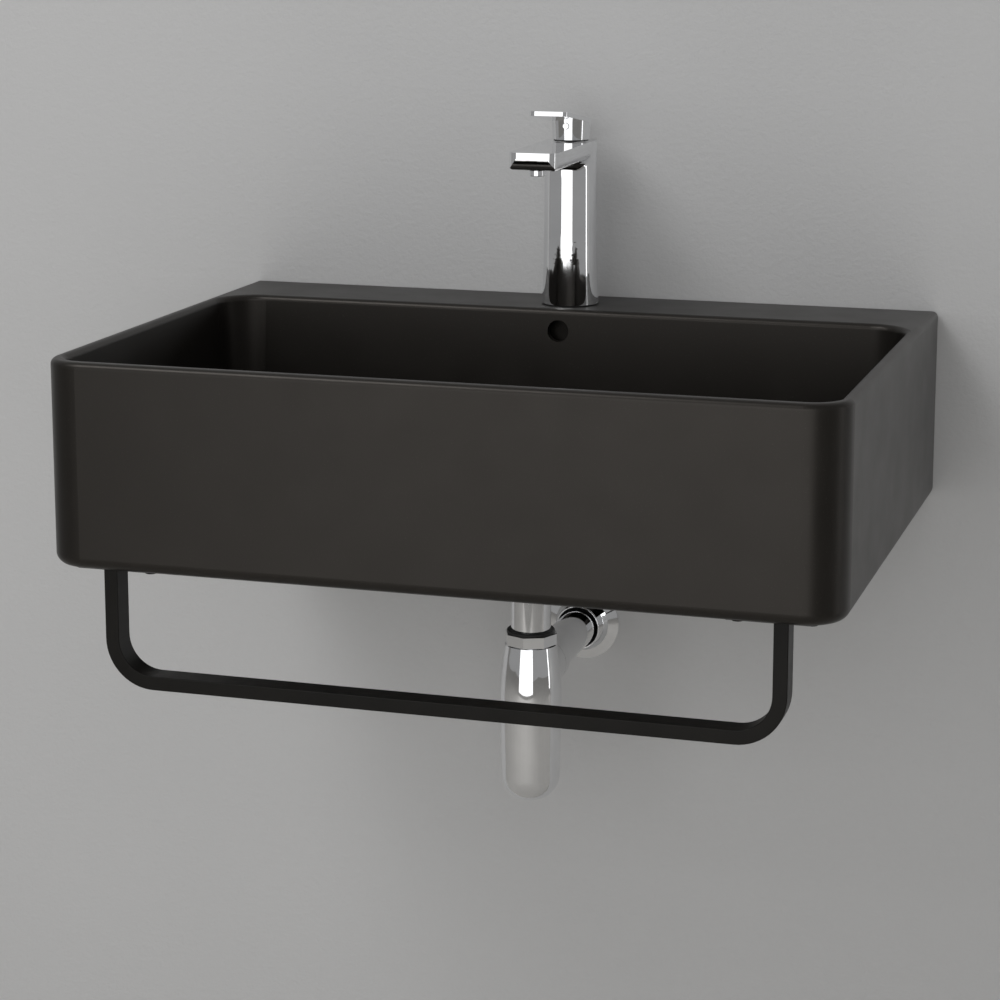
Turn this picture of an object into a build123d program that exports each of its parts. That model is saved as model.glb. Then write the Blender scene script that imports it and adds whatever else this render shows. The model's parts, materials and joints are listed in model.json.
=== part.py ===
from build123d import *
from math import cos, radians, sin, tan
import os

# Wall-hung ceramic washbasin with a single-lever tap, a push-to-open waste, a chrome bottle trap
# and a towel rail under its front. Millimetres, +Z up, +Y into the wall, X across the front.
# The origin is midway between the two wall-bolt holes, on the flat back face of the basin.

# ---- driving dimensions -------------------------------------------------------------------
basin_width = 600
basin_depth = 431
basin_height = 156
bolt_height = 110           # wall bolts above the underside
bolt_spacing = 280

under_z = -bolt_height      # underside of the basin
rim_z = under_z + basin_height

front_corner_radius = 30.5
back_corner_radius = 3
rim_side = 9.8              # rim thickness at the sides
rim_front = 12.5
rim_round = 4.7
base_round = 9
deck_depth = 84             # from the wall to the bowl
deck_thick = 13
bowl_floor = 34             # above the underside
bowl_draft = 4              # degrees
bowl_bottom_round = 24
wall = 12                   # ceramic wall between the bowl and the rear cavity
back_plate = 14
recess_height = 20          # hollow under the bowl floor

tap_y = -48
tap_hole_radius = 17
drain_y = -162
drain_hole_radius = 23
overflow_z = under_z + 138
overflow_radius = 9

tube_radius = 16.3          # chrome waste tubes
spigot_radius = 16          # plain 32 mm end that goes into the wall socket
spigot_length = 38
outlet_z = under_z - 132.5


os.makedirs("parts", exist_ok=True)


def save(piece, name):
    piece.part.label = name
    export_step(piece.part, f"parts/{name}.step")


def turned(centre_y, outline):
    """A ring or bush on the vertical axis at centre_y, from its (radius, z) outline."""
    with BuildPart() as piece:
        with BuildSketch(Plane.YZ):
            with BuildLine():
                Polyline(*[(centre_y + r, z) for r, z in outline], close=True)
            make_face()
        revolve(axis=Axis((0, centre_y, 0), (0, 0, 1)))
    return piece


def ring(centre_y, inner, outer, low, high):
    """A plain washer on the vertical axis at centre_y."""
    return turned(centre_y, [(inner, low), (outer, low), (outer, high), (inner, high)])


def outlet_turned(outline):
    """A ring or tube on the waste outlet's axis, square to the wall, from its (radius, y) outline."""
    with BuildPart() as piece:
        with BuildSketch(Plane.YZ):
            with BuildLine():
                Polyline(*[(y, outlet_z + r) for r, y in outline], close=True)
            make_face()
        revolve(axis=Axis((0, 0, outlet_z), (0, 1, 0)))
    return piece


def outlet_ring(inner, outer, front, back):
    """A plain ring on the waste outlet's axis."""
    return outlet_turned([(inner, front), (outer, front), (outer, back), (inner, back)])


# ---- basin --------------------------------------------------------------------------------
bush_radius = 10
anchor_radius = 4
rail_screw_x = 222.5
rail_screw_ys = (-408, -384)
anchor_depth = 22

duct_half_width = 24        # overflow duct, inside
duct_wall = 6
duct_front = -79
duct_back = -70.5
duct_floor = under_z + 5
duct_height = 9             # clear height of its lower run
boss_radius = 37

bowl_x = basin_width / 2 - rim_side
bowl_front = -basin_depth + rim_front
bowl_length = -deck_depth - bowl_front
cavity_front = -deck_depth + wall
cavity_top = rim_z - deck_thick
cavity_half = basin_width / 2 - 14

with BuildPart() as basin:
    with BuildSketch(Plane.XY.offset(under_z)):
        with Locations((0, -basin_depth / 2)):
            Rectangle(basin_width, basin_depth)
        fillet(vertices().group_by(Axis.Y)[0], front_corner_radius)
        fillet(vertices().group_by(Axis.Y)[-1], back_corner_radius)
    extrude(amount=basin_height)
    outer_rim = faces().sort_by(Axis.Z)[-1].edges().filter_by(lambda e: e.center().Y < -2)
    fillet(outer_rim, rim_round)
    outer_base = faces().sort_by(Axis.Z)[0].edges().filter_by(lambda e: e.center().Y < -2)
    fillet(outer_base, base_round)
    # bowl
    with BuildSketch(Plane.XY.offset(rim_z)):
        with Locations((0, bowl_front + bowl_length / 2)):
            Rectangle(2 * bowl_x, bowl_length)
        fillet(vertices().group_by(Axis.Y)[0], front_corner_radius - rim_side)
        fillet(vertices().group_by(Axis.Y)[-1], 32)
    extrude(amount=-(basin_height - bowl_floor), taper=bowl_draft, mode=Mode.SUBTRACT)
    bowl_bottom = faces().filter_by(Axis.Z).filter_by(
        lambda f: abs(f.center().Z - under_z - bowl_floor) < 0.1)
    fillet(bowl_bottom.edges(), bowl_bottom_round)
    deck_face = faces().sort_by(Axis.Z)[-1]
    fillet(deck_face.inner_wires()[0].edges(), rim_round)
    # hollow under the deck, open to below, and the recess under the bowl floor
    with BuildSketch(Plane.XY.offset(under_z)):
        with Locations((0, (cavity_front - back_plate) / 2)):
            RectangleRounded(2 * cavity_half, -cavity_front - back_plate, 8)
    extrude(amount=basin_height - deck_thick, mode=Mode.SUBTRACT)
    with BuildSketch(Plane.XY.offset(under_z)):
        with Locations((0, -220)):
            Rectangle(2 * 266, 300)
        with Locations((0, -340)):
            Rectangle(2 * 196, 144)
        fillet(vertices().filter_by(lambda v: v.Y < -100), 12)
    extrude(amount=recess_height, mode=Mode.SUBTRACT)
    # drain boss and the two runs of the overflow duct
    with BuildSketch(Plane.XY.offset(under_z)):
        with Locations((0, drain_y)):
            Circle(boss_radius)
        with Locations((0, (drain_y + duct_back + duct_wall) / 2)):
            Rectangle(2 * (duct_half_width + duct_wall), duct_back + duct_wall - drain_y)
    extrude(amount=recess_height + 1)
    with BuildSketch(Plane.XY.offset(under_z)):
        with Locations((0, (duct_back + duct_wall + cavity_front - 1) / 2)):
            Rectangle(2 * (duct_half_width + duct_wall), duct_back + duct_wall - cavity_front + 1)
    extrude(amount=cavity_top - under_z + 1)
    with BuildSketch(Plane.XY.offset(duct_floor)):
        with Locations((0, (duct_back + drain_y) / 2)):
            Rectangle(2 * duct_half_width, duct_back - drain_y)
    extrude(amount=duct_height, mode=Mode.SUBTRACT)
    with BuildSketch(Plane.XY.offset(duct_floor)):
        with Locations((0, (duct_back + duct_front) / 2)):
            Rectangle(2 * duct_half_width, duct_back - duct_front)
    extrude(amount=overflow_z + overflow_radius + 2 - duct_floor, mode=Mode.SUBTRACT)
    with BuildSketch(Plane.XZ.offset(-(duct_front + duct_back) / 2)):
        with Locations((0, overflow_z)):
            Circle(overflow_radius)
    extrude(amount=25, mode=Mode.SUBTRACT)
    # drain: shallow dish, seat and hole
    with BuildSketch(Plane.YZ):
        with BuildLine():
            Polyline((drain_y, under_z - 1), (drain_y, under_z + bowl_floor + 1),
                     (drain_y - 75, under_z + bowl_floor + 1), (drain_y - 75, under_z + bowl_floor),
                     (drain_y - 33, under_z + bowl_floor - 3.5), (drain_y - 33, under_z + 28),
                     (drain_y - drain_hole_radius, under_z + 28),
                     (drain_y - drain_hole_radius, under_z - 1), close=True)
        make_face()
    revolve(axis=Axis((0, drain_y, 0), (0, 0, 1)), mode=Mode.SUBTRACT)
    # tap hole, wall-bolt holes, rail anchor holes
    with BuildSketch(Plane.XY.offset(rim_z)):
        with Locations((0, tap_y)):
            Circle(tap_hole_radius)
    extrude(amount=-deck_thick - 1, mode=Mode.SUBTRACT)
    with BuildSketch(Plane.XZ):
        with GridLocations(bolt_spacing, 1, 2, 1):
            Circle(bush_radius)
    extrude(amount=back_plate + 1, mode=Mode.SUBTRACT)
    with BuildSketch(Plane.XY.offset(under_z)):
        with Locations([(s * rail_screw_x, y) for s in (-1, 1) for y in rail_screw_ys]):
            Circle(anchor_radius)
    extrude(amount=anchor_depth, mode=Mode.SUBTRACT)
save(basin, "basin")

# ---- wall-bolt bushes ---------------------------------------------------------------------
bush_bore = 5.5
bush_flange = 13

with BuildPart() as wall_bushes:
    with BuildSketch(Plane.XZ):
        with GridLocations(bolt_spacing, 1, 2, 1):
            Circle(bush_radius)
    extrude(amount=back_plate)
    with BuildSketch(Plane.XZ.offset(back_plate)):
        with GridLocations(bolt_spacing, 1, 2, 1):
            Circle(bush_flange)
    extrude(amount=3)
    with BuildSketch(Plane.XZ):
        with GridLocations(bolt_spacing, 1, 2, 1):
            Circle(bush_bore)
    extrude(amount=back_plate + 3, mode=Mode.SUBTRACT)
save(wall_bushes, "wall_bushes")

# ---- towel rail ---------------------------------------------------------------------------
rail_half = 259.4
rail_bar = 10.7             # bar height seen from the front
rail_depth = 19.5
rail_back = -392.2
rail_bottom = under_z - 94
plate_thick = 2
rail_top = under_z - plate_thick
rail_bend = 37.5

with BuildPart() as towel_rail:
    with BuildSketch(Plane.XZ.offset(-rail_back)):
        with Locations((0, (rail_top + rail_bottom) / 2)):
            Rectangle(2 * rail_half, rail_top - rail_bottom)
        fillet(vertices().group_by(Axis.Y)[0], rail_bend)
    extrude(amount=rail_depth)
    with BuildSketch(Plane.XZ.offset(-rail_back)):
        with Locations((0, (rail_top + rail_bottom) / 2 + rail_bar)):
            Rectangle(2 * (rail_half - rail_bar), rail_top - rail_bottom)
        fillet(vertices().group_by(Axis.Y)[0], rail_bend - rail_bar)
    extrude(amount=rail_depth, mode=Mode.SUBTRACT)
    long_edges = edges().filter_by(lambda e: e.center().Z < rail_top - 0.1
                                   and abs(e.tangent_at(0.5).Y) < 0.1)
    fillet(long_edges, 0.7)
save(towel_rail, "towel_rail")

plate_inner = 213.5
plate_outer = 280
plate_front = -417
plate_back = -375
screw_hole = 2.8

for side, name in ((-1, "rail_plate_left"), (1, "rail_plate_right")):
    with BuildPart() as rail_plate:
        with BuildSketch(Plane.XY.offset(rail_top)):
            with Locations((side * (plate_inner + plate_outer) / 2, (plate_front + plate_back) / 2)):
                RectangleRounded(plate_outer - plate_inner, plate_back - plate_front, 4)
            with Locations([(side * rail_screw_x, y) for y in rail_screw_ys]):
                Circle(screw_hole, mode=Mode.SUBTRACT)
        extrude(amount=plate_thick)
    save(rail_plate, name)

screw_spots = [(s * rail_screw_x, y) for s in (-1, 1) for y in rail_screw_ys]
with BuildPart() as rail_screws:
    with BuildSketch(Plane.XY.offset(rail_top)):
        with Locations(screw_spots):
            Circle(5)
    extrude(amount=-2.3)
    fillet(edges().group_by(Axis.Z)[0], 1.4)
    with BuildSketch(Plane.XY.offset(rail_top - 2.3)):
        with Locations(screw_spots):
            RegularPolygon(1.7, 6)
    extrude(amount=1.6, mode=Mode.SUBTRACT)
    with BuildSketch(Plane.XY.offset(rail_top)):
        with Locations(screw_spots):
            Circle(2.4)
    extrude(amount=17)
save(rail_screws, "rail_screws")

with BuildPart() as rail_anchors:
    with BuildSketch(Plane.XY.offset(under_z)):
        with Locations(screw_spots):
            Circle(anchor_radius - 0.05)
            Circle(2.4, mode=Mode.SUBTRACT)
    extrude(amount=anchor_depth - 2)
save(rail_anchors, "rail_anchors")

# ---- waste --------------------------------------------------------------------------------
thread_radius = 20.9
waste_bore = 17.5
seat_z = under_z + 28
flange_z = under_z + 31.4
waste_bottom = under_z - 50
spider_z = under_z - 12

save(ring(drain_y, thread_radius + 0.3, 31.5, seat_z, seat_z + 1.4), "waste_gasket")

with BuildPart() as waste_body:
    with BuildSketch(Plane.YZ):
        with BuildLine():
            Polyline(*[(drain_y + r, z) for r, z in (
                (waste_bore, waste_bottom), (thread_radius, waste_bottom),
                (thread_radius, seat_z + 1.4), (32, seat_z + 1.4), (32, flange_z - 0.8),
                (31.2, flange_z), (waste_bore + 1, flange_z), (waste_bore, flange_z - 1))],
                close=True)
        make_face()
    revolve(axis=Axis((0, drain_y, 0), (0, 0, 1)))
    with BuildSketch(Plane.XY.offset(spider_z)):
        with Locations((0, drain_y)):
            Rectangle(2 * waste_bore + 2, 4)
            Rectangle(4, 2 * waste_bore + 2)
            Circle(7)
            Circle(4, mode=Mode.SUBTRACT)
    extrude(amount=5)
    with BuildSketch(Plane.XZ.offset(-drain_y - 25)):
        with Locations((0, duct_floor + duct_height / 2)):
            Rectangle(16, duct_height)
    extrude(amount=50, mode=Mode.SUBTRACT)
save(waste_body, "waste_body")

save(ring(drain_y, thread_radius + 0.2, 33, under_z - 4, under_z), "waste_washer")

with BuildPart() as waste_nut:
    with BuildSketch(Plane.XY.offset(under_z - 13)):
        with Locations((0, drain_y)):
            RegularPolygon(31, 6)
            Circle(thread_radius + 0.05, mode=Mode.SUBTRACT)
    extrude(amount=9)
save(waste_nut, "waste_nut")

click_bore = 3.06
save(turned(drain_y, [(0, spider_z - 2), (3.95, spider_z - 2), (3.95, spider_z + 5),
                      (6.5, spider_z + 5), (6.5, under_z + 18), (click_bore, under_z + 18),
                      (click_bore, under_z + 2), (0, under_z + 2)]), "click_cartridge")

spindle_radius = 3
save(turned(drain_y, [(0, under_z + 4), (spindle_radius, under_z + 4),
                      (spindle_radius, under_z + 31), (0, under_z + 31)]), "click_spindle")

cap_radius = 30
cap_low = flange_z + 0.4
cap_high = under_z + 36.4
plug_radius = 16.4
cap_dome = (cap_radius ** 2 + 3.2 ** 2) / (2 * 3.2)
with BuildPart() as waste_cap:
    with BuildSketch(Plane.YZ):
        with BuildLine():
            Polyline((drain_y, under_z + 31), (drain_y + spindle_radius, under_z + 31),
                     (drain_y + spindle_radius, under_z + 24), (drain_y + 5.5, under_z + 24),
                     (drain_y + 5.5, under_z + 28.4), (drain_y + plug_radius, under_z + 28.4),
                     (drain_y + plug_radius, cap_low), (drain_y + cap_radius, cap_low))
            Line((drain_y + cap_radius, cap_low), (drain_y + cap_radius, cap_high - 3.2))
            RadiusArc((drain_y + cap_radius, cap_high - 3.2), (drain_y, cap_high), -cap_dome)
            Line((drain_y, cap_high), (drain_y, under_z + 31))
        make_face()
    revolve(axis=Axis((0, drain_y, 0), (0, 0, 1)))
save(waste_cap, "waste_cap")

save(ring(drain_y, plug_radius, 17.15, under_z + 28.9, under_z + 30.9), "cap_seal")

tube_bore = 14.8
tail_top = waste_bottom - 2
save(ring(drain_y, tube_bore, thread_radius - 0.4, tail_top, waste_bottom), "tail_seal")
save(turned(drain_y, [(tube_bore, tail_top), (thread_radius - 0.9, tail_top),
                      (thread_radius - 0.9, tail_top - 1.5), (tube_radius, tail_top - 1.5),
                      (tube_radius, under_z - 128), (tube_bore, under_z - 128)]), "tail_tube")

with BuildPart() as tail_nut:
    with BuildSketch(Plane.XY.offset(tail_top - 5)):
        with Locations((0, drain_y)):
            RegularPolygon(26, 8)
            Circle(tube_radius + 0.15, mode=Mode.SUBTRACT)
    extrude(amount=21)
    with BuildSketch(Plane.XY.offset(tail_top - 1.6)):
        with Locations((0, drain_y)):
            Circle(thread_radius + 0.05)
    extrude(amount=20, mode=Mode.SUBTRACT)
save(tail_nut, "tail_nut")

# ---- bottle trap --------------------------------------------------------------------------
nut_top = under_z - 97
nut_low = under_z - 106.8
neck_top = under_z - 101
neck_radius = 18.8
seam_z = under_z - 164
bottle_low = under_z - 240
bottle_radius = 25.3
trap_bore = 23.5            # inside the lower rim, over the cup's thread

with BuildPart() as trap_nut:
    with BuildSketch(Plane.XY.offset(nut_low)):
        with Locations((0, drain_y)):
            RegularPolygon(21.9, 8)
    extrude(amount=nut_top - nut_low)
    chamfer(edges().group_by(Axis.Z)[0] + edges().group_by(Axis.Z)[-1], 0.5)
    with BuildSketch(Plane.XY.offset(nut_low)):
        with Locations((0, drain_y)):
            Circle(neck_radius + 0.05)
    extrude(amount=nut_top - nut_low - 2.5, mode=Mode.SUBTRACT)
    with BuildSketch(Plane.XY.offset(nut_top)):
        with Locations((0, drain_y)):
            Circle(17.3)
    extrude(amount=-3, mode=Mode.SUBTRACT)
save(trap_nut, "trap_nut")

save(turned(drain_y, [(tube_radius + 0.05, nut_top + 2.4), (19, nut_top + 2.4), (19.6, nut_top + 1.8),
                      (19.6, nut_top), (17.2, nut_top), (17.2, nut_top - 2.5),
                      (tube_radius + 0.05, nut_top - 2.5)]), "trap_seal")

dip_inner = 16.3
save(turned(drain_y, [(dip_inner, nut_top - 2.6), (neck_radius - 0.1, nut_top - 2.6),
                      (neck_radius - 0.1, neck_top), (17.2, neck_top), (17.2, under_z - 214),
                      (dip_inner, under_z - 214)]), "dip_tube")

boss_end = -128
with BuildPart() as trap_body:
    with BuildSketch(Plane.YZ):
        with BuildLine():
            Polyline((drain_y, neck_top), (drain_y + neck_radius, neck_top),
                     (drain_y + neck_radius, nut_low - 0.3), (drain_y + 21.2, nut_low - 0.3))
            Spline((drain_y + 21.2, nut_low - 0.3), (drain_y + 23.9, under_z - 128),
                   (drain_y + bottle_radius, under_z - 152), tangents=((0.12, -1), (0, -1)))
            Polyline((drain_y + bottle_radius, under_z - 152), (drain_y + bottle_radius, seam_z + 0.15),
                     (drain_y, seam_z + 0.15), (drain_y, neck_top))
        make_face()
    revolve(axis=Axis((0, drain_y, 0), (0, 0, 1)))
    with BuildSketch(Plane.XZ.offset(-boss_end)):
        with Locations((0, outlet_z)):
            Circle(20.3)
    extrude(amount=-(drain_y - boss_end) - 4)
    with BuildSketch(Plane.XZ.offset(-boss_end)):
        with Locations((0, outlet_z)):
            Circle(18)
    extrude(amount=-8)
    with BuildSketch(Plane.YZ):
        with BuildLine():
            Polyline((drain_y, neck_top + 1), (drain_y + 17.3, neck_top + 1),
                     (drain_y + 17.3, under_z - 110), (drain_y + 19.4, under_z - 112),
                     (drain_y + 21.8, under_z - 128), (drain_y + trap_bore, under_z - 148),
                     (drain_y + trap_bore, seam_z - 1), (drain_y, seam_z - 1), close=True)
        make_face()
    revolve(axis=Axis((0, drain_y, 0), (0, 0, 1)), mode=Mode.SUBTRACT)
    with BuildSketch(Plane.XZ.offset(-boss_end - 9)):
        with Locations((0, outlet_z)):
            Circle(tube_bore)
    extrude(amount=-drain_y + boss_end + 9, mode=Mode.SUBTRACT)
    with BuildSketch(Plane.XZ.offset(-boss_end - 9)):
        with Locations((0, outlet_z)):
            Circle(tube_radius + 0.1)
    extrude(amount=20, mode=Mode.SUBTRACT)
save(trap_body, "trap_body")

with BuildPart() as trap_cup:
    with BuildSketch(Plane.YZ):
        with BuildLine():
            Polyline((drain_y, seam_z + 12), (drain_y + trap_bore - 0.1, seam_z + 12),
                     (drain_y + trap_bore - 0.1, seam_z), (drain_y + bottle_radius, seam_z))
            Line((drain_y + bottle_radius, seam_z), (drain_y + 24, under_z - 218))
            EllipticalCenterArc((drain_y, under_z - 218), 24, under_z - 218 - bottle_low,
                                start_angle=270, arc_size=90)
            Line((drain_y, bottle_low), (drain_y, seam_z + 12))
        make_face()
    revolve(axis=Axis((0, drain_y, 0), (0, 0, 1)))
    with BuildSketch(Plane.YZ):
        with BuildLine():
            Polyline((drain_y, seam_z + 13), (drain_y + 21.6, seam_z + 13),
                     (drain_y + 21.6, under_z - 218))
            EllipticalCenterArc((drain_y, under_z - 218), 21.6, 19, start_angle=270, arc_size=90)
            Line((drain_y, under_z - 237), (drain_y, seam_z + 13))
        make_face()
    revolve(axis=Axis((0, drain_y, 0), (0, 0, 1)), mode=Mode.SUBTRACT)
save(trap_cup, "trap_cup")

save(ring(drain_y, 21.7, 23.4, seam_z + 12, seam_z + 14), "cup_seal")

stub_end = boss_end + 8
save(outlet_turned([(18.05, boss_end + 0.2), (20.3, boss_end + 0.2), (20.3, stub_end + 3.2),
                    (19.6, stub_end + 4), (tube_radius + 0.1, stub_end + 4), (tube_radius + 0.1, stub_end + 1.2),
                    (18.05, stub_end + 1.2)]), "outlet_nut")
save(outlet_ring(tube_radius + 0.02, 17.9, stub_end, stub_end + 1.2), "outlet_seal")
tube_end = 40
save(outlet_turned([(tube_bore, boss_end - 9), (tube_radius, boss_end - 9),
                    (tube_radius, tube_end - spigot_length), (spigot_radius, tube_end - spigot_length),
                    (spigot_radius, tube_end), (tube_bore, tube_end)]), "outlet_tube")

with BuildPart() as wall_rosette:
    with BuildSketch(Plane.YZ):
        with BuildLine():
            Polyline((0, outlet_z + 18.2), (0, outlet_z + 32), (-1.2, outlet_z + 32),
                     (-5, outlet_z + 23.5), (-9, outlet_z + 20.6), (-18.8, outlet_z + 19.3))
            ThreePointArc((-18.8, outlet_z + 19.3), (-19.5, outlet_z + 18.6), (-18.8, outlet_z + 17.9))
            Polyline((-18.8, outlet_z + 17.9), (-9, outlet_z + 18.2), (0, outlet_z + 18.2))
        make_face()
    revolve(axis=Axis((0, 0, outlet_z), (0, 1, 0)))
save(wall_rosette, "wall_rosette")
save(outlet_ring(tube_radius + 0.02, 18.05, -9, -6), "rosette_seal")

# ---- tap: body ----------------------------------------------------------------------------
tap_foot = rim_z + 1
tap_top = rim_z + 136
foot_radius = 23.8
waist_radius = 22.2
flare_height = 53
pillar_radius = 21.5
spout_half = 20
spout_tip = -164
spout_low = tap_top - 15
tip_face = 3.5              # upright part of the tip, above its rounding
tip_sweep = 13
aerator_y = -147
seat_level = tap_top - 34   # where the cartridge stands
core_bore = 13.3
core_thread = 14.5
riser_y = tap_y - 17.6
inlet_x = 7.5
inlet_thread = 4.5
inlet_depth = 12
inlet_lean = radians(3.5)
stud_y = -36
aerator_bore = 7.2
port_spots = [(-5, tap_y - 2.5), (5, tap_y - 2.5), (0, tap_y + 4.5)]

save(ring(tap_y, 16.3, 22.5, rim_z, tap_foot), "base_gasket")

with BuildPart() as tap_body:
    # flat spout: its side view, cut to its front view and its plan
    with BuildSketch(Plane.YZ):
        with BuildLine():
            Polyline((spout_tip, tap_top - tip_face), (spout_tip, tap_top), (tap_y, tap_top),
                     (tap_y, spout_low), (spout_tip + tip_sweep, spout_low))
            Spline((spout_tip + tip_sweep, spout_low), (spout_tip, tap_top - tip_face),
                   tangents=((-1, 0), (0, 1)))
        make_face()
    extrude(amount=spout_half, both=True)
    with BuildSketch(Plane.XZ.offset(-tap_y)):
        with Locations((0, tap_top)):
            Rectangle(2 * spout_half, 2 * (tap_top - spout_low))
        fillet(vertices().group_by(Axis.Z)[0], 6)
    extrude(amount=tap_y - spout_tip, mode=Mode.INTERSECT)
    with BuildSketch(Plane.XY.offset(spout_low)):
        with Locations((0, (tap_y + spout_tip) / 2)):
            Rectangle(2 * spout_half, tap_y - spout_tip)
        fillet(vertices().group_by(Axis.Y)[0], 8)
    extrude(amount=tap_top - spout_low, mode=Mode.INTERSECT)
    # pillar with a gentle flare down to its foot, and the blend under the spout
    with BuildSketch(Plane.YZ):
        with BuildLine():
            Line((tap_y, tap_foot), (tap_y - foot_radius, tap_foot))
            Spline((tap_y - foot_radius, tap_foot), (tap_y - waist_radius, tap_foot + flare_height),
                   tangents=((0.06, 1), (0.008, 1)))
            Polyline((tap_y - waist_radius, tap_foot + flare_height), (tap_y - pillar_radius, tap_top),
                     (tap_y, tap_top), (tap_y, tap_foot))
        make_face()
    revolve(axis=Axis((0, tap_y, 0), (0, 0, 1)))
    spout_root = edges().filter_by(
        lambda e: tap_y - 24 < e.center().Y < tap_y - 10 and spout_low - 2 < e.center().Z < tap_top - 8)
    fillet(spout_root, 8)
    # cartridge chamber, open at the top
    with BuildSketch(Plane.XY.offset(seat_level)):
        with Locations((0, tap_y)):
            Circle(core_bore)
    extrude(amount=tap_top - seat_level, mode=Mode.SUBTRACT)
    with BuildSketch(Plane.XY.offset(tap_top - 8)):
        with Locations((0, tap_y)):
            Circle(core_thread)
    extrude(amount=8, mode=Mode.SUBTRACT)
    # two inlets: thread, drilling and port; the threads lean outwards, so the hoses pass the trap's tube
    for side, port in ((-1, port_spots[0]), (1, port_spots[1])):
        x = side * inlet_x
        inlet_plane = Plane((x, tap_y, tap_foot), x_dir=(0, 1, 0),
                            z_dir=(-side * sin(inlet_lean), 0, cos(inlet_lean)))
        with BuildSketch(inlet_plane.offset(-1)):
            Circle(inlet_thread)
        extrude(amount=inlet_depth + 1, mode=Mode.SUBTRACT)
        with BuildSketch(Plane.XY.offset(tap_foot + 11)):
            with Locations((x, tap_y)):
                Circle(3.5)
        extrude(amount=seat_level - 8 - tap_foot - 11, mode=Mode.SUBTRACT)
        with BuildSketch(Plane.XY.offset(seat_level)):
            with Locations(port):
                Circle(2)
        extrude(amount=-12, mode=Mode.SUBTRACT)
    # outlet: port, cross drilling, riser, spout channel and aerator pocket
    with BuildSketch(Plane.XY.offset(seat_level)):
        with Locations(port_spots[2]):
            Circle(2.2)
    extrude(amount=-7, mode=Mode.SUBTRACT)
    with BuildSketch(Plane.XZ.offset(-port_spots[2][1])):
        with Locations((0, seat_level - 4.5)):
            Circle(1.9)
    extrude(amount=port_spots[2][1] - riser_y, mode=Mode.SUBTRACT)
    with BuildSketch(Plane.XY.offset(seat_level - 7.5)):
        with Locations((0, riser_y)):
            Circle(2.6)
    extrude(amount=tap_top - 8 - seat_level + 7.5, mode=Mode.SUBTRACT)
    with BuildSketch(Plane.XZ.offset(-riser_y)):
        with Locations((0, tap_top - 8)):
            Circle(4.5)
    extrude(amount=riser_y - aerator_y, mode=Mode.SUBTRACT)
    with BuildSketch(Plane.XY.offset(spout_low)):
        with Locations((0, aerator_y)):
            Circle(aerator_bore)
    extrude(amount=11, mode=Mode.SUBTRACT)
    # thread for the fixing stud
    with BuildSketch(Plane.XY.offset(tap_foot)):
        with Locations((0, stud_y)):
            Circle(4.05)
    extrude(amount=9, mode=Mode.SUBTRACT)
save(tap_body, "tap_body")

save(turned(aerator_y, [(5.7, spout_low - 4.4), (6.3, spout_low - 4.4), (6.7, spout_low - 4),
                        (6.7, spout_low - 0.1), (7.1, spout_low + 0.3), (7.1, spout_low + 9),
                        (5.7, spout_low + 9)]), "aerator_housing")
with BuildPart() as aerator_insert:
    with BuildSketch(Plane.XY.offset(spout_low - 3.6)):
        with Locations((0, aerator_y)):
            Circle(5.6)
    extrude(amount=12)
    with BuildSketch(Plane.XY.offset(spout_low - 3.6)):
        with Locations((0, aerator_y)):
            with HexLocations(1.1, 4, 4):
                RegularPolygon(0.9, 6)
    extrude(amount=12, mode=Mode.SUBTRACT)
save(aerator_insert, "aerator_insert")
save(ring(aerator_y, 4.7, 7.1, spout_low + 9, spout_low + 11), "aerator_seal")

# ---- tap: mixing cartridge ----------------------------------------------------------------
base_high = seat_level + 3
disc_split = base_high + 3
slider_low = disc_split + 4
slider_high = slider_low + 9.2
carrier_low = slider_high + 0.3
carrier_step = carrier_low + 3.2
housing_step = tap_top - 8
neck_high = tap_top + 1
pivot_z = tap_top - 5
arm = 10                    # from the pivot down to the stem's foot
stem_half = 3.4
foot_z = pivot_z - arm

with BuildPart() as cartridge_base:
    with BuildSketch(Plane.XY.offset(seat_level)):
        with Locations((0, tap_y)):
            Circle(core_bore - 0.3)
        with Locations(port_spots):
            Circle(2, mode=Mode.SUBTRACT)
    extrude(amount=base_high - seat_level)
    with BuildSketch(Plane.XY.offset(seat_level)):
        with Locations(port_spots):
            Circle(3)
    extrude(amount=1.2, mode=Mode.SUBTRACT)
save(cartridge_base, "cartridge_base")

with BuildPart() as port_seals:
    with BuildSketch(Plane.XY.offset(seat_level)):
        with Locations(port_spots):
            Circle(2.95)
            Circle(2.2, mode=Mode.SUBTRACT)
    extrude(amount=1.2)
save(port_seals, "port_seals")

save(turned(tap_y, [(11, base_high), (core_bore - 0.3, base_high), (core_bore - 0.3, housing_step),
                    (7.5, housing_step), (7.5, neck_high), (6.65, neck_high), (6.65, carrier_step + 0.3),
                    (11, carrier_step + 0.3)]), "cartridge_housing")

with BuildPart() as fixed_disc:
    with BuildSketch(Plane.XY.offset(base_high)):
        with Locations((0, tap_y)):
            Circle(10.95)
        with Locations(port_spots):
            Circle(2, mode=Mode.SUBTRACT)
    extrude(amount=disc_split - base_high - 0.01)
save(fixed_disc, "fixed_disc")

with BuildPart() as moving_disc:
    with BuildSketch(Plane.XY.offset(disc_split)):
        with Locations((0, tap_y)):
            Circle(7.2)
    extrude(amount=slider_low - disc_split)
    with BuildSketch(Plane.XY.offset(disc_split)):
        with Locations((0, tap_y + 3.75)):
            RectangleRounded(11, 6.3, 1.5)
    extrude(amount=1.8, mode=Mode.SUBTRACT)
save(moving_disc, "moving_disc")

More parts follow.
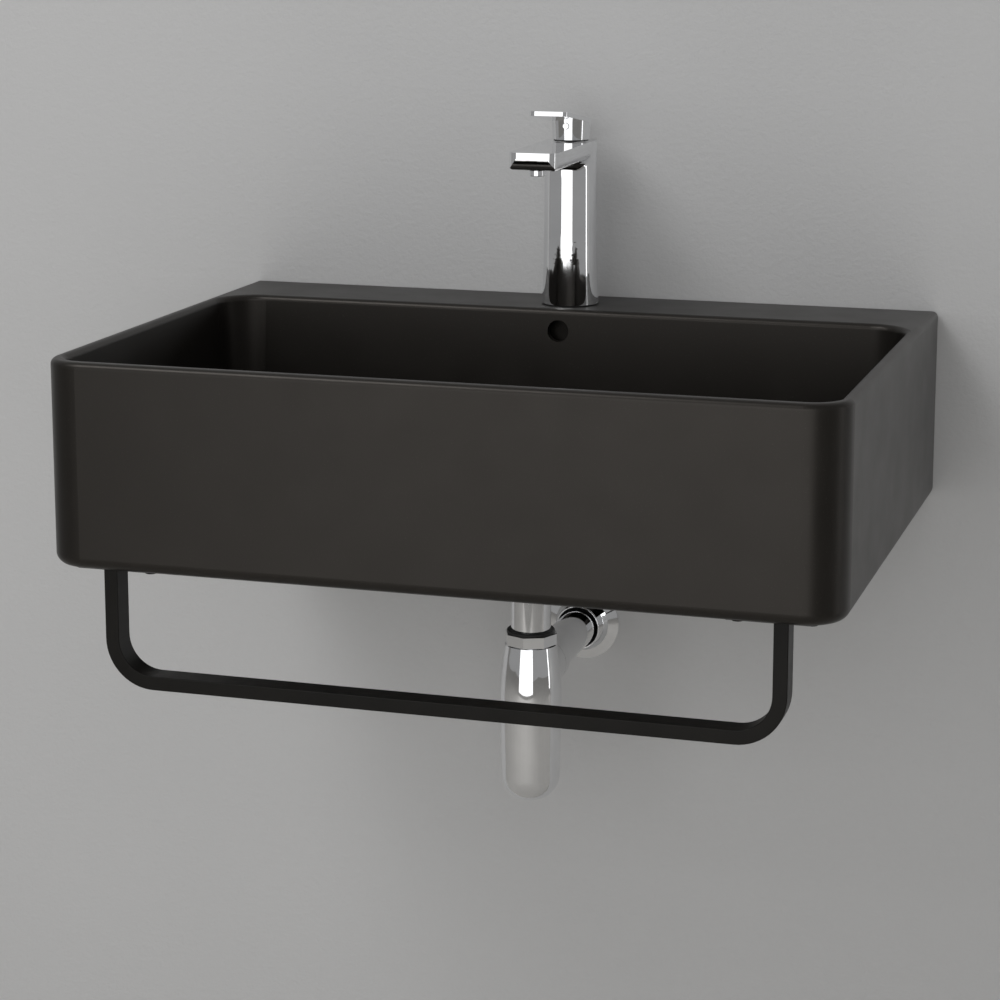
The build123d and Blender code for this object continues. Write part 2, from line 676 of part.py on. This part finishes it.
with BuildPart() as disc_slider:
    with BuildSketch(Plane.XY.offset(slider_low)):
        with Locations((0, tap_y)):
            Circle(7.2)
    extrude(amount=slider_high - slider_low)
    with BuildSketch(Plane.XY.offset(slider_high)):
        with Locations((0, tap_y)):
            Rectangle(7.2, 5)
    extrude(amount=-3.2, mode=Mode.SUBTRACT)
save(disc_slider, "disc_slider")

pin_radius = 1.25
with BuildPart() as spindle_carrier:
    with BuildSketch(Plane.XY.offset(carrier_low)):
        with Locations((0, tap_y)):
            Circle(10.6)
    extrude(amount=carrier_step - carrier_low)
    with BuildSketch(Plane.XY.offset(carrier_step)):
        with Locations((0, tap_y)):
            Circle(6.6)
    extrude(amount=tap_top - carrier_step)
    with BuildSketch(Plane.XY.offset(carrier_low)):
        with Locations((0, tap_y)):
            Rectangle(7, 15)
    extrude(amount=tap_top - carrier_low, mode=Mode.SUBTRACT)
    with BuildSketch(Plane.YZ):
        with Locations((tap_y, pivot_z)):
            Circle(pin_radius)
    extrude(amount=8, both=True, mode=Mode.SUBTRACT)
save(spindle_carrier, "spindle_carrier")

with BuildPart() as pivot_pin:
    with BuildSketch(Plane.YZ):
        with Locations((tap_y, pivot_z)):
            Circle(pin_radius)
    extrude(amount=6.2, both=True)
save(pivot_pin, "pivot_pin")

stem_high = tap_top + 15
with BuildPart() as lever_stem:
    with BuildSketch(Plane.YZ):
        with Locations((tap_y, (pivot_z - 2.6 + stem_high) / 2)):
            Rectangle(2 * stem_half, stem_high - pivot_z + 2.6)
        with Locations((tap_y, (pivot_z + foot_z) / 2)):
            Rectangle(3.6, arm)
        with Locations((tap_y, foot_z)):
            Circle(2.4)
        with Locations((tap_y, pivot_z)):
            Circle(pin_radius + 0.05, mode=Mode.SUBTRACT)
    extrude(amount=stem_half, both=True)
save(lever_stem, "lever_stem")

save(ring(tap_y, 7.6, core_thread - 0.05, housing_step, tap_top - 1.1), "retaining_nut")
save(ring(tap_y, 7.6, core_thread - 0.1, tap_top - 1, tap_top + 0.2), "cover_ring")

# ---- tap: lever ---------------------------------------------------------------------------
hub_low = tap_top + 1.2
hub_foot_radius = 15.3
hub_radius = 16.5
blade_rise = 8.5            # degrees, towards the tip
blade_thick = 3.6
blade_top = tap_top + 18.5  # on the tap's axis
lever_tip = -118
lift_max = 20               # degrees
button_z = tap_top + 12.8
blade_plane = Plane((0, tap_y, blade_top), x_dir=(1, 0, 0),
                    z_dir=(0, sin(radians(blade_rise)), cos(radians(blade_rise))))
blade_length = (tap_y - lever_tip) / cos(radians(blade_rise))
relief_rise = tan(radians(lift_max))
relief_gap = (0.6 + tap_top - pivot_z) / cos(radians(lift_max))

with BuildPart() as lever_handle:
    with BuildSketch(Plane.YZ):
        Polygon((tap_y, hub_low), (tap_y + hub_foot_radius, hub_low),
                (tap_y + hub_radius, hub_low + 20), (tap_y, hub_low + 20), align=None)
    revolve(axis=Axis((0, tap_y, 0), (0, 0, 1)))
    split(bisect_by=blade_plane.offset(-blade_thick / 2), keep=Keep.BOTTOM)
    with BuildSketch(blade_plane.offset(-blade_thick)):
        Circle(hub_radius)
        with Locations((0, -blade_length / 2)):
            Rectangle(2 * hub_radius, blade_length)
        fillet(vertices().group_by(Axis.Y)[0], 6)
    extrude(amount=blade_thick)
    # room for the cartridge neck, socket for the stem, grub screw and button
    with BuildSketch(Plane.XY.offset(hub_low)):
        with Locations((0, tap_y)):
            Circle(11)
    extrude(amount=8.3, mode=Mode.SUBTRACT)
    with BuildSketch(Plane.XY.offset(hub_low)):
        with Locations((0, tap_y)):
            Rectangle(2 * stem_half + 0.1, 2 * stem_half + 0.1)
    extrude(amount=stem_high - hub_low + 0.2, mode=Mode.SUBTRACT)
    with BuildSketch(Plane.XZ.offset(-tap_y)):
        with Locations((0, button_z)):
            Circle(2.1)
    extrude(amount=20, mode=Mode.SUBTRACT)
    with BuildSketch(Plane.XZ.offset(-tap_y + 12.6)):
        with Locations((0, button_z)):
            Circle(2.8)
    extrude(amount=8, mode=Mode.SUBTRACT)
    # the back of the hub is cut away so that the lever can tip up
    with BuildSketch(Plane.YZ):
        Polygon((tap_y, pivot_z), (tap_y + 25, pivot_z), (tap_y + 25, pivot_z + relief_gap + 25 * relief_rise),
                (tap_y, pivot_z + relief_gap), align=None)
    extrude(amount=20, both=True, mode=Mode.SUBTRACT)
save(lever_handle, "lever_handle")

with BuildPart() as grub_screw:
    with BuildSketch(Plane.XZ.offset(-tap_y + stem_half)):
        with Locations((0, button_z)):
            Circle(2.05)
    extrude(amount=6)
    with BuildSketch(Plane.XZ.offset(-tap_y + stem_half + 6)):
        with Locations((0, button_z)):
            RegularPolygon(1.15, 6)
    extrude(amount=-2.5, mode=Mode.SUBTRACT)
save(grub_screw, "grub_screw")

with BuildPart() as index_button:
    with BuildSketch(Plane.XZ.offset(-tap_y + 12.6)):
        with Locations((0, button_z)):
            Circle(2.75)
    extrude(amount=4.2)
    fillet(edges().group_by(Axis.Y)[0], 0.5)
save(index_button, "index_button")

# ---- tap: fixings under the deck ----------------------------------------------------------
stud_radius = 4
with BuildPart() as tap_stud:
    with BuildSketch(Plane.XY.offset(tap_foot + 8)):
        with Locations((0, stud_y)):
            Circle(stud_radius)
    extrude(amount=-60)
save(tap_stud, "tap_stud")

for name, high, low in (("horseshoe_gasket", cavity_top, cavity_top - 3),
                        ("horseshoe_plate", cavity_top - 3, cavity_top - 5.5)):
    with BuildPart() as horseshoe:
        with BuildSketch(Plane.XY.offset(low)):
            with Locations((0, tap_y + 6)):
                Circle(21.8)
            with Locations((0, tap_y - 8)):
                Rectangle(30, 27, mode=Mode.SUBTRACT)
            with Locations((0, stud_y)):
                Circle(stud_radius + 0.2, mode=Mode.SUBTRACT)
        extrude(amount=high - low)
    save(horseshoe, name)

with BuildPart() as stud_nut:
    with BuildSketch(Plane.XY.offset(cavity_top - 5.5)):
        with Locations((0, stud_y)):
            RegularPolygon(7.5, 6)
            Circle(stud_radius + 0.05, mode=Mode.SUBTRACT)
    extrude(amount=-12.5)
save(stud_nut, "stud_nut")
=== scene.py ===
import json
import math

import bpy
import numpy as np
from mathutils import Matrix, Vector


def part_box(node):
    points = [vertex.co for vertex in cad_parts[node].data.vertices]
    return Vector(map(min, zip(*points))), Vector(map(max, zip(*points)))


# A dark wall-hung washbasin with a chrome tap, a chrome bottle trap and a towel rail.
# Metres, +Z up, +Y into the wall. The shapes are the frame's own; this script gives them
# their finishes, a stage, lights and a camera.

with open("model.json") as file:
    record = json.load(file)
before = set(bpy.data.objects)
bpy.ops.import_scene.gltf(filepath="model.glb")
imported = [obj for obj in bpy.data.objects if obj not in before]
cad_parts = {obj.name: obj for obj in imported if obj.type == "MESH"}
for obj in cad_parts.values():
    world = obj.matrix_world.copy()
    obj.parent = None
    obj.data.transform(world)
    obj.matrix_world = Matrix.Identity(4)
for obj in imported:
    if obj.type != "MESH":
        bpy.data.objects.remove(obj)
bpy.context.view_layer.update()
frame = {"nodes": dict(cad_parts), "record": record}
basinLow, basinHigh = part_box("basin")


# a Wire is a shader socket that can be added to and multiplied
class Wire:
    def __init__(self, shade, socket):
        self.shade = shade
        self.socket = socket

    def sum(self, operation, a, b):
        return self.shade.node("ShaderNodeMath", {"operation": operation}, {0: a, 1: b})

    def __add__(self, other):
        return self.sum("ADD", self, other)

    def __radd__(self, other):
        return self.sum("ADD", other, self)

    def __mul__(self, other):
        return self.sum("MULTIPLY", self, other)

    def __rmul__(self, other):
        return self.sum("MULTIPLY", other, self)


class Shade:
    # one material: node() adds any node, surface() ends it in a Principled shader
    def __init__(self, name):
        self.material = bpy.data.materials.new(name)
        self.material.use_nodes = True
        self.tree = self.material.node_tree
        self.tree.nodes.clear()

    def node(self, kind, settings=None, sockets=None, out=0):
        made = self.tree.nodes.new(kind)
        for key, value in (settings or {}).items():
            setattr(made, key, value)
        for key, value in (sockets or {}).items():
            if isinstance(value, Wire):
                self.tree.links.new(value.socket, made.inputs[key])
            else:
                made.inputs[key].default_value = value
        return Wire(self, made.outputs[out]) if made.outputs else None

    def place(self):
        return self.node("ShaderNodeTexCoord", out="Object")

    def noise(self, scale, detail=2.0, rough=0.5, vector=None):
        return self.node("ShaderNodeTexNoise", {}, {"Vector": vector or self.place(), "Scale": scale,
                                                    "Detail": detail, "Roughness": rough})

    # maps a noise's band, its usual middle unless told otherwise, to low..high
    def span(self, value, low, high, band=(0.3, 0.7)):
        return self.node("ShaderNodeMapRange", {"clamp": True},
                         {"Value": value, "From Min": band[0], "From Max": band[1],
                          "To Min": low, "To Max": high})

    def mix(self, factor, a, b):
        return self.node("ShaderNodeMix", {"data_type": "RGBA"}, {0: factor, 6: a, 7: b}, out=2)

    def bump(self, height, strength, distance):
        return self.node("ShaderNodeBump", {}, {"Height": height, "Strength": strength,
                                                "Distance": distance})

    def surface(self, sockets):
        shader = self.node("ShaderNodeBsdfPrincipled", {}, sockets)
        self.node("ShaderNodeOutputMaterial", {}, {"Surface": shader})
        return self.material


def rgb(r, g, b):
    return (r, g, b, 1.0)


glazeLook = {"deep": rgb(0.0042, 0.0036, 0.0029), "light": rgb(0.0064, 0.0055, 0.0045), "driftScale": 7.0,
             "fleck": rgb(0.03, 0.027, 0.024), "fleckScale": 900.0, "fleckBand": (0.66, 0.74),
             "fleckShow": 0.5, "rough": 0.37, "roughSwing": 0.025, "glossScale": 26.0,
             "peel": 0.00002, "peelScale": 420.0, "gleam": 0.44, "tint": rgb(1.0, 0.93, 0.86)}


def makeGlaze():
    # satin glaze: slow drifts of tone and gloss, fine specks, and an orange-peel bump
    look = glazeLook
    s = Shade("satinGlaze")
    drift = s.noise(look["driftScale"], 3.0)
    fleck = s.noise(look["fleckScale"], 1.0)
    tone = s.mix(s.span(drift, 0.0, 1.0), look["deep"], look["light"])
    tone = s.mix(s.span(fleck, 0.0, look["fleckShow"], look["fleckBand"]), tone, look["fleck"])
    gloss = s.span(s.noise(look["glossScale"], 4.0), look["rough"] - look["roughSwing"],
                   look["rough"] + look["roughSwing"])
    peel = s.bump(s.noise(look["peelScale"], 2.0), 0.35, look["peel"])
    return s.surface({"Base Color": tone, "Roughness": gloss, "Normal": peel,
                      "Specular IOR Level": look["gleam"], "Specular Tint": look["tint"]})


coatLook = {"deep": rgb(0.0062, 0.0056, 0.0046), "light": rgb(0.0100, 0.0090, 0.0076), "toneScale": 30.0,
            "smooth": 0.36, "rough": 0.44, "glossScale": 60.0, "dimple": 0.00002, "dimpleScale": 1800.0,
            "gleam": 0.16}


def makePowderCoat():
    # powder coat: dark, satin, with the close dimples of a sprayed finish
    look = coatLook
    s = Shade("powderCoat")
    tone = s.mix(s.span(s.noise(look["toneScale"], 3.0), 0.0, 1.0), look["deep"], look["light"])
    gloss = s.span(s.noise(look["glossScale"], 3.0), look["smooth"], look["rough"])
    dimple = s.bump(s.noise(look["dimpleScale"], 2.0), 0.4, look["dimple"])
    return s.surface({"Base Color": tone, "Roughness": gloss, "Normal": dimple,
                      "Specular IOR Level": look["gleam"]})


chromeLook = {"clean": rgb(0.86, 0.865, 0.875), "wiped": rgb(0.80, 0.805, 0.815), "wipeScale": 38.0,
              "wipeBand": (0.35, 0.75), "wipeRough": 0.022, "wave": 0.00004, "waveScale": 55.0}


def makeChrome(name, rough):
    # chrome: nearly a mirror, with faint wiping marks in its gloss and a trace of polishing waves
    look = chromeLook
    s = Shade(name)
    wipe = s.span(s.noise(look["wipeScale"], 5.0, 0.62), 0.0, 1.0, look["wipeBand"])
    tone = s.mix(wipe, look["clean"], look["wiped"])
    gloss = wipe * look["wipeRough"] + rough
    wave = s.bump(s.noise(look["waveScale"], 1.0), 0.12, look["wave"])
    return s.surface({"Base Color": tone, "Metallic": 1.0, "Roughness": gloss, "Normal": wave})


rubberLook = {"deep": rgb(0.008, 0.008, 0.008), "light": rgb(0.02, 0.02, 0.02), "toneScale": 140.0,
              "smooth": 0.55, "rough": 0.72, "glossScale": 90.0, "grain": 0.00003, "grainScale": 2600.0}


def makeRubber():
    # rubber: cloudy black with a fine matte grain
    look = rubberLook
    s = Shade("blackRubber")
    tone = s.mix(s.noise(look["toneScale"], 4.0), look["deep"], look["light"])
    gloss = s.span(s.noise(look["glossScale"]), look["smooth"], look["rough"])
    grain = s.bump(s.noise(look["grainScale"], 2.0), 0.5, look["grain"])
    return s.surface({"Base Color": tone, "Roughness": gloss, "Normal": grain})


mouldedLook = {"flowScale": 45.0, "grainScale": 1500.0, "grain": 0.00002, "glossScale": 120.0,
               "roughSwing": 0.05}


def makeMoulded(name, light, dark, rough):
    # moulded or ground parts: slight flow marks in tone and a soft satin grain
    look = mouldedLook
    s = Shade(name)
    tone = s.mix(s.span(s.noise(look["flowScale"], 3.0), 0.0, 1.0), light, dark)
    grain = s.bump(s.noise(look["grainScale"], 2.0), 0.3, look["grain"])
    gloss = s.span(s.noise(look["glossScale"]), rough - look["roughSwing"], rough + look["roughSwing"])
    return s.surface({"Base Color": tone, "Roughness": gloss, "Normal": grain})


workedLook = {"markScale": 700.0, "mark": 0.00002, "smoother": 0.08, "rougher": 0.1}


def makeWorked(name, light, dark, rough, squeeze):
    # worked metal: tool marks are noise squeezed along the axes where squeeze is large
    look = workedLook
    s = Shade(name)
    squeezed = s.node("ShaderNodeMapping", {}, {"Vector": s.place(), "Scale": squeeze})
    marks = s.noise(look["markScale"], 3.0, 0.6, squeezed)
    tone = s.mix(s.span(marks, 0.0, 1.0), light, dark)
    gloss = s.span(marks, rough - look["smoother"], rough + look["rougher"])
    return s.surface({"Base Color": tone, "Metallic": 1.0, "Roughness": gloss,
                      "Normal": s.bump(marks, 0.3, look["mark"])})


finishOf = {
    "glaze": makeGlaze(),
    "rail_paint": makePowderCoat(),
    "chrome": makeChrome("polishedChrome", 0.028),
    "rubber": makeRubber(),
    "dark_plastic": makeMoulded("blackPlastic", rgb(0.02, 0.02, 0.021), rgb(0.012, 0.012, 0.013), 0.42),
    "button": makeChrome("buttonChrome", 0.05),
    "nylon": makeMoulded("paleNylon", rgb(0.74, 0.72, 0.67), rgb(0.62, 0.60, 0.55), 0.45),
    "brass": makeWorked("turnedBrass", rgb(0.78, 0.58, 0.27), rgb(0.60, 0.42, 0.18), 0.28, (1.0, 1.0, 9.0)),
    "steel": makeWorked("zincSteel", rgb(0.66, 0.67, 0.69), rgb(0.48, 0.49, 0.51), 0.3, (1.0, 1.0, 6.0)),
    "disc_ceramic": makeMoulded("groundAlumina", rgb(0.80, 0.78, 0.73), rgb(0.70, 0.68, 0.63), 0.2),
}
slotOf = {part["node"]: part["material_slot"] for part in frame["record"]["subparts"]}
for name, node in frame["nodes"].items():
    for slot in node.material_slots:
        slot.material = finishOf[slotOf[name]]
print("finishes:", len(finishOf))


# the stage: a pale floor below the basin and a grey plaster wall just behind it
stageLook = {"floorDrop": 0.85, "floorHalf": 5.0, "wallGap": 0.0005, "wallHalf": 4.0, "wallHigh": 3.0}
floorPaint = {"tone": rgb(0.60, 0.585, 0.56), "shadow": rgb(0.56, 0.545, 0.52), "cloudScale": 3.0,
              "grainScale": 60.0, "grain": 0.0004}
wallPaint = {"tone": rgb(0.67, 0.67, 0.67), "shadow": rgb(0.64, 0.64, 0.64), "cloudScale": 2.2,
             "grainScale": 190.0, "grain": 0.0011}


def makeStagePaint(name, look):
    # matte paint with slow clouds and a fine grain; see-through from behind, so rear and low views
    # still show the object
    s = Shade(name)
    cloud = s.span(s.noise(look["cloudScale"], 5.0), 0.0, 1.0)
    grain = s.bump(s.noise(look["grainScale"], 6.0, 0.65), 0.6, look["grain"])
    tone = s.mix(cloud, look["tone"], look["shadow"])
    matt = s.node("ShaderNodeBsdfDiffuse", {}, {"Color": tone, "Normal": grain})
    clear = s.node("ShaderNodeBsdfTransparent")
    behind = s.node("ShaderNodeNewGeometry", out="Backfacing")
    both = s.node("ShaderNodeMixShader", {}, {0: behind, 1: matt, 2: clear})
    s.node("ShaderNodeOutputMaterial", {}, {"Surface": both})
    return s.material


def makeSheet(name, corners, paint):
    # one flat face through four corners, wound so that it faces the object
    mesh = bpy.data.meshes.new(name)
    mesh.from_pydata(np.array(corners, float).tolist(), [], [(0, 1, 2, 3)])
    mesh.materials.append(paint)
    sheet = bpy.data.objects.new(name, mesh)
    bpy.context.scene.collection.objects.link(sheet)
    sheet.visible_shadow = False


floorZ = basinHigh.z - stageLook["floorDrop"]
floorHalf, wallHalf = stageLook["floorHalf"], stageLook["wallHalf"]
wallY, wallTop = basinHigh.y + stageLook["wallGap"], stageLook["wallHigh"]
makeSheet("floor", [(-floorHalf, -floorHalf, floorZ), (floorHalf, -floorHalf, floorZ),
                    (floorHalf, floorHalf, floorZ), (-floorHalf, floorHalf, floorZ)],
          makeStagePaint("paleFloor", floorPaint))
makeSheet("wall", [(-wallHalf, wallY, floorZ), (wallHalf, wallY, floorZ),
                   (wallHalf, wallY, wallTop), (-wallHalf, wallY, wallTop)],
          makeStagePaint("greyPlaster", wallPaint))
print("stage: floor at", round(floorZ, 3))


# lights: where each softbox stands, where it points, its width and height, and its watts
softboxes = {
    "frontSoftbox": {"place": (-0.1, -2.3, 0.14), "target": (-0.1, 0.0, 0.14), "size": (2.1, 1.76),
                     "power": 14.0},
    "keySoftbox": {"place": (-1.1, -1.7, 2.1), "target": (0.35, 0.0, 0.0), "size": (1.1, 1.1), "power": 19.0},
    "rightStrip": {"place": (2.3, -0.15, 0.1), "target": (0.0, -0.1, 0.1), "size": (0.14, 1.6), "power": 1.6},
    "rearSoftbox": {"place": (0.9, 2.6, 0.15), "target": (0.0, 0.0, 0.0), "size": (1.8, 1.2), "power": 18.0},
}
roomLight = {"tone": rgb(1.0, 1.0, 1.0), "strength": 0.28}


def makeSoftbox(name, look):
    # an area light whose -Z axis is turned from its place towards its target
    light = bpy.data.lights.new(name, "AREA")
    light.shape = "RECTANGLE"
    light.size, light.size_y = look["size"]
    light.energy = look["power"]
    aim = np.array(look["target"]) - np.array(look["place"])
    flat = math.hypot(aim[0], aim[1])
    lamp = bpy.data.objects.new(name, light)
    lamp.location = look["place"]
    lamp.rotation_euler = (math.atan2(flat, -aim[2]), 0.0, math.atan2(-aim[0], aim[1]))
    bpy.context.scene.collection.objects.link(lamp)


for name, look in softboxes.items():
    makeSoftbox(name, look)
world = bpy.data.worlds.new("studio")
world.use_nodes = True
background = world.node_tree.nodes["Background"]
background.inputs["Color"].default_value = roomLight["tone"]
background.inputs["Strength"].default_value = roomLight["strength"]
bpy.context.scene.world = world
bpy.context.scene.view_settings.view_transform = "Standard"
print("lights:", len(softboxes))


# the camera stands in front, right of the middle, a little above the rim; degrees, and millimetres of lens
cameraLook = {"place": (0.5977, -2.1947, 0.3915), "down": 10.878, "turn": 17.066, "lens": 97.108,
              "sensor": 36.0, "shift": -0.1}
camera = bpy.data.objects.new("camera", bpy.data.cameras.new("camera"))
camera.data.lens = cameraLook["lens"]
camera.data.sensor_width = cameraLook["sensor"]
camera.data.shift_y = cameraLook["shift"]
camera.location = cameraLook["place"]
camera.rotation_euler = (math.radians(90.0 - cameraLook["down"]), 0.0, math.radians(cameraLook["turn"]))
bpy.context.scene.collection.objects.link(camera)
bpy.context.scene.camera = camera
print("camera: lens", cameraLook["lens"])

bpy.context.view_layer.update()
print("scene ready")
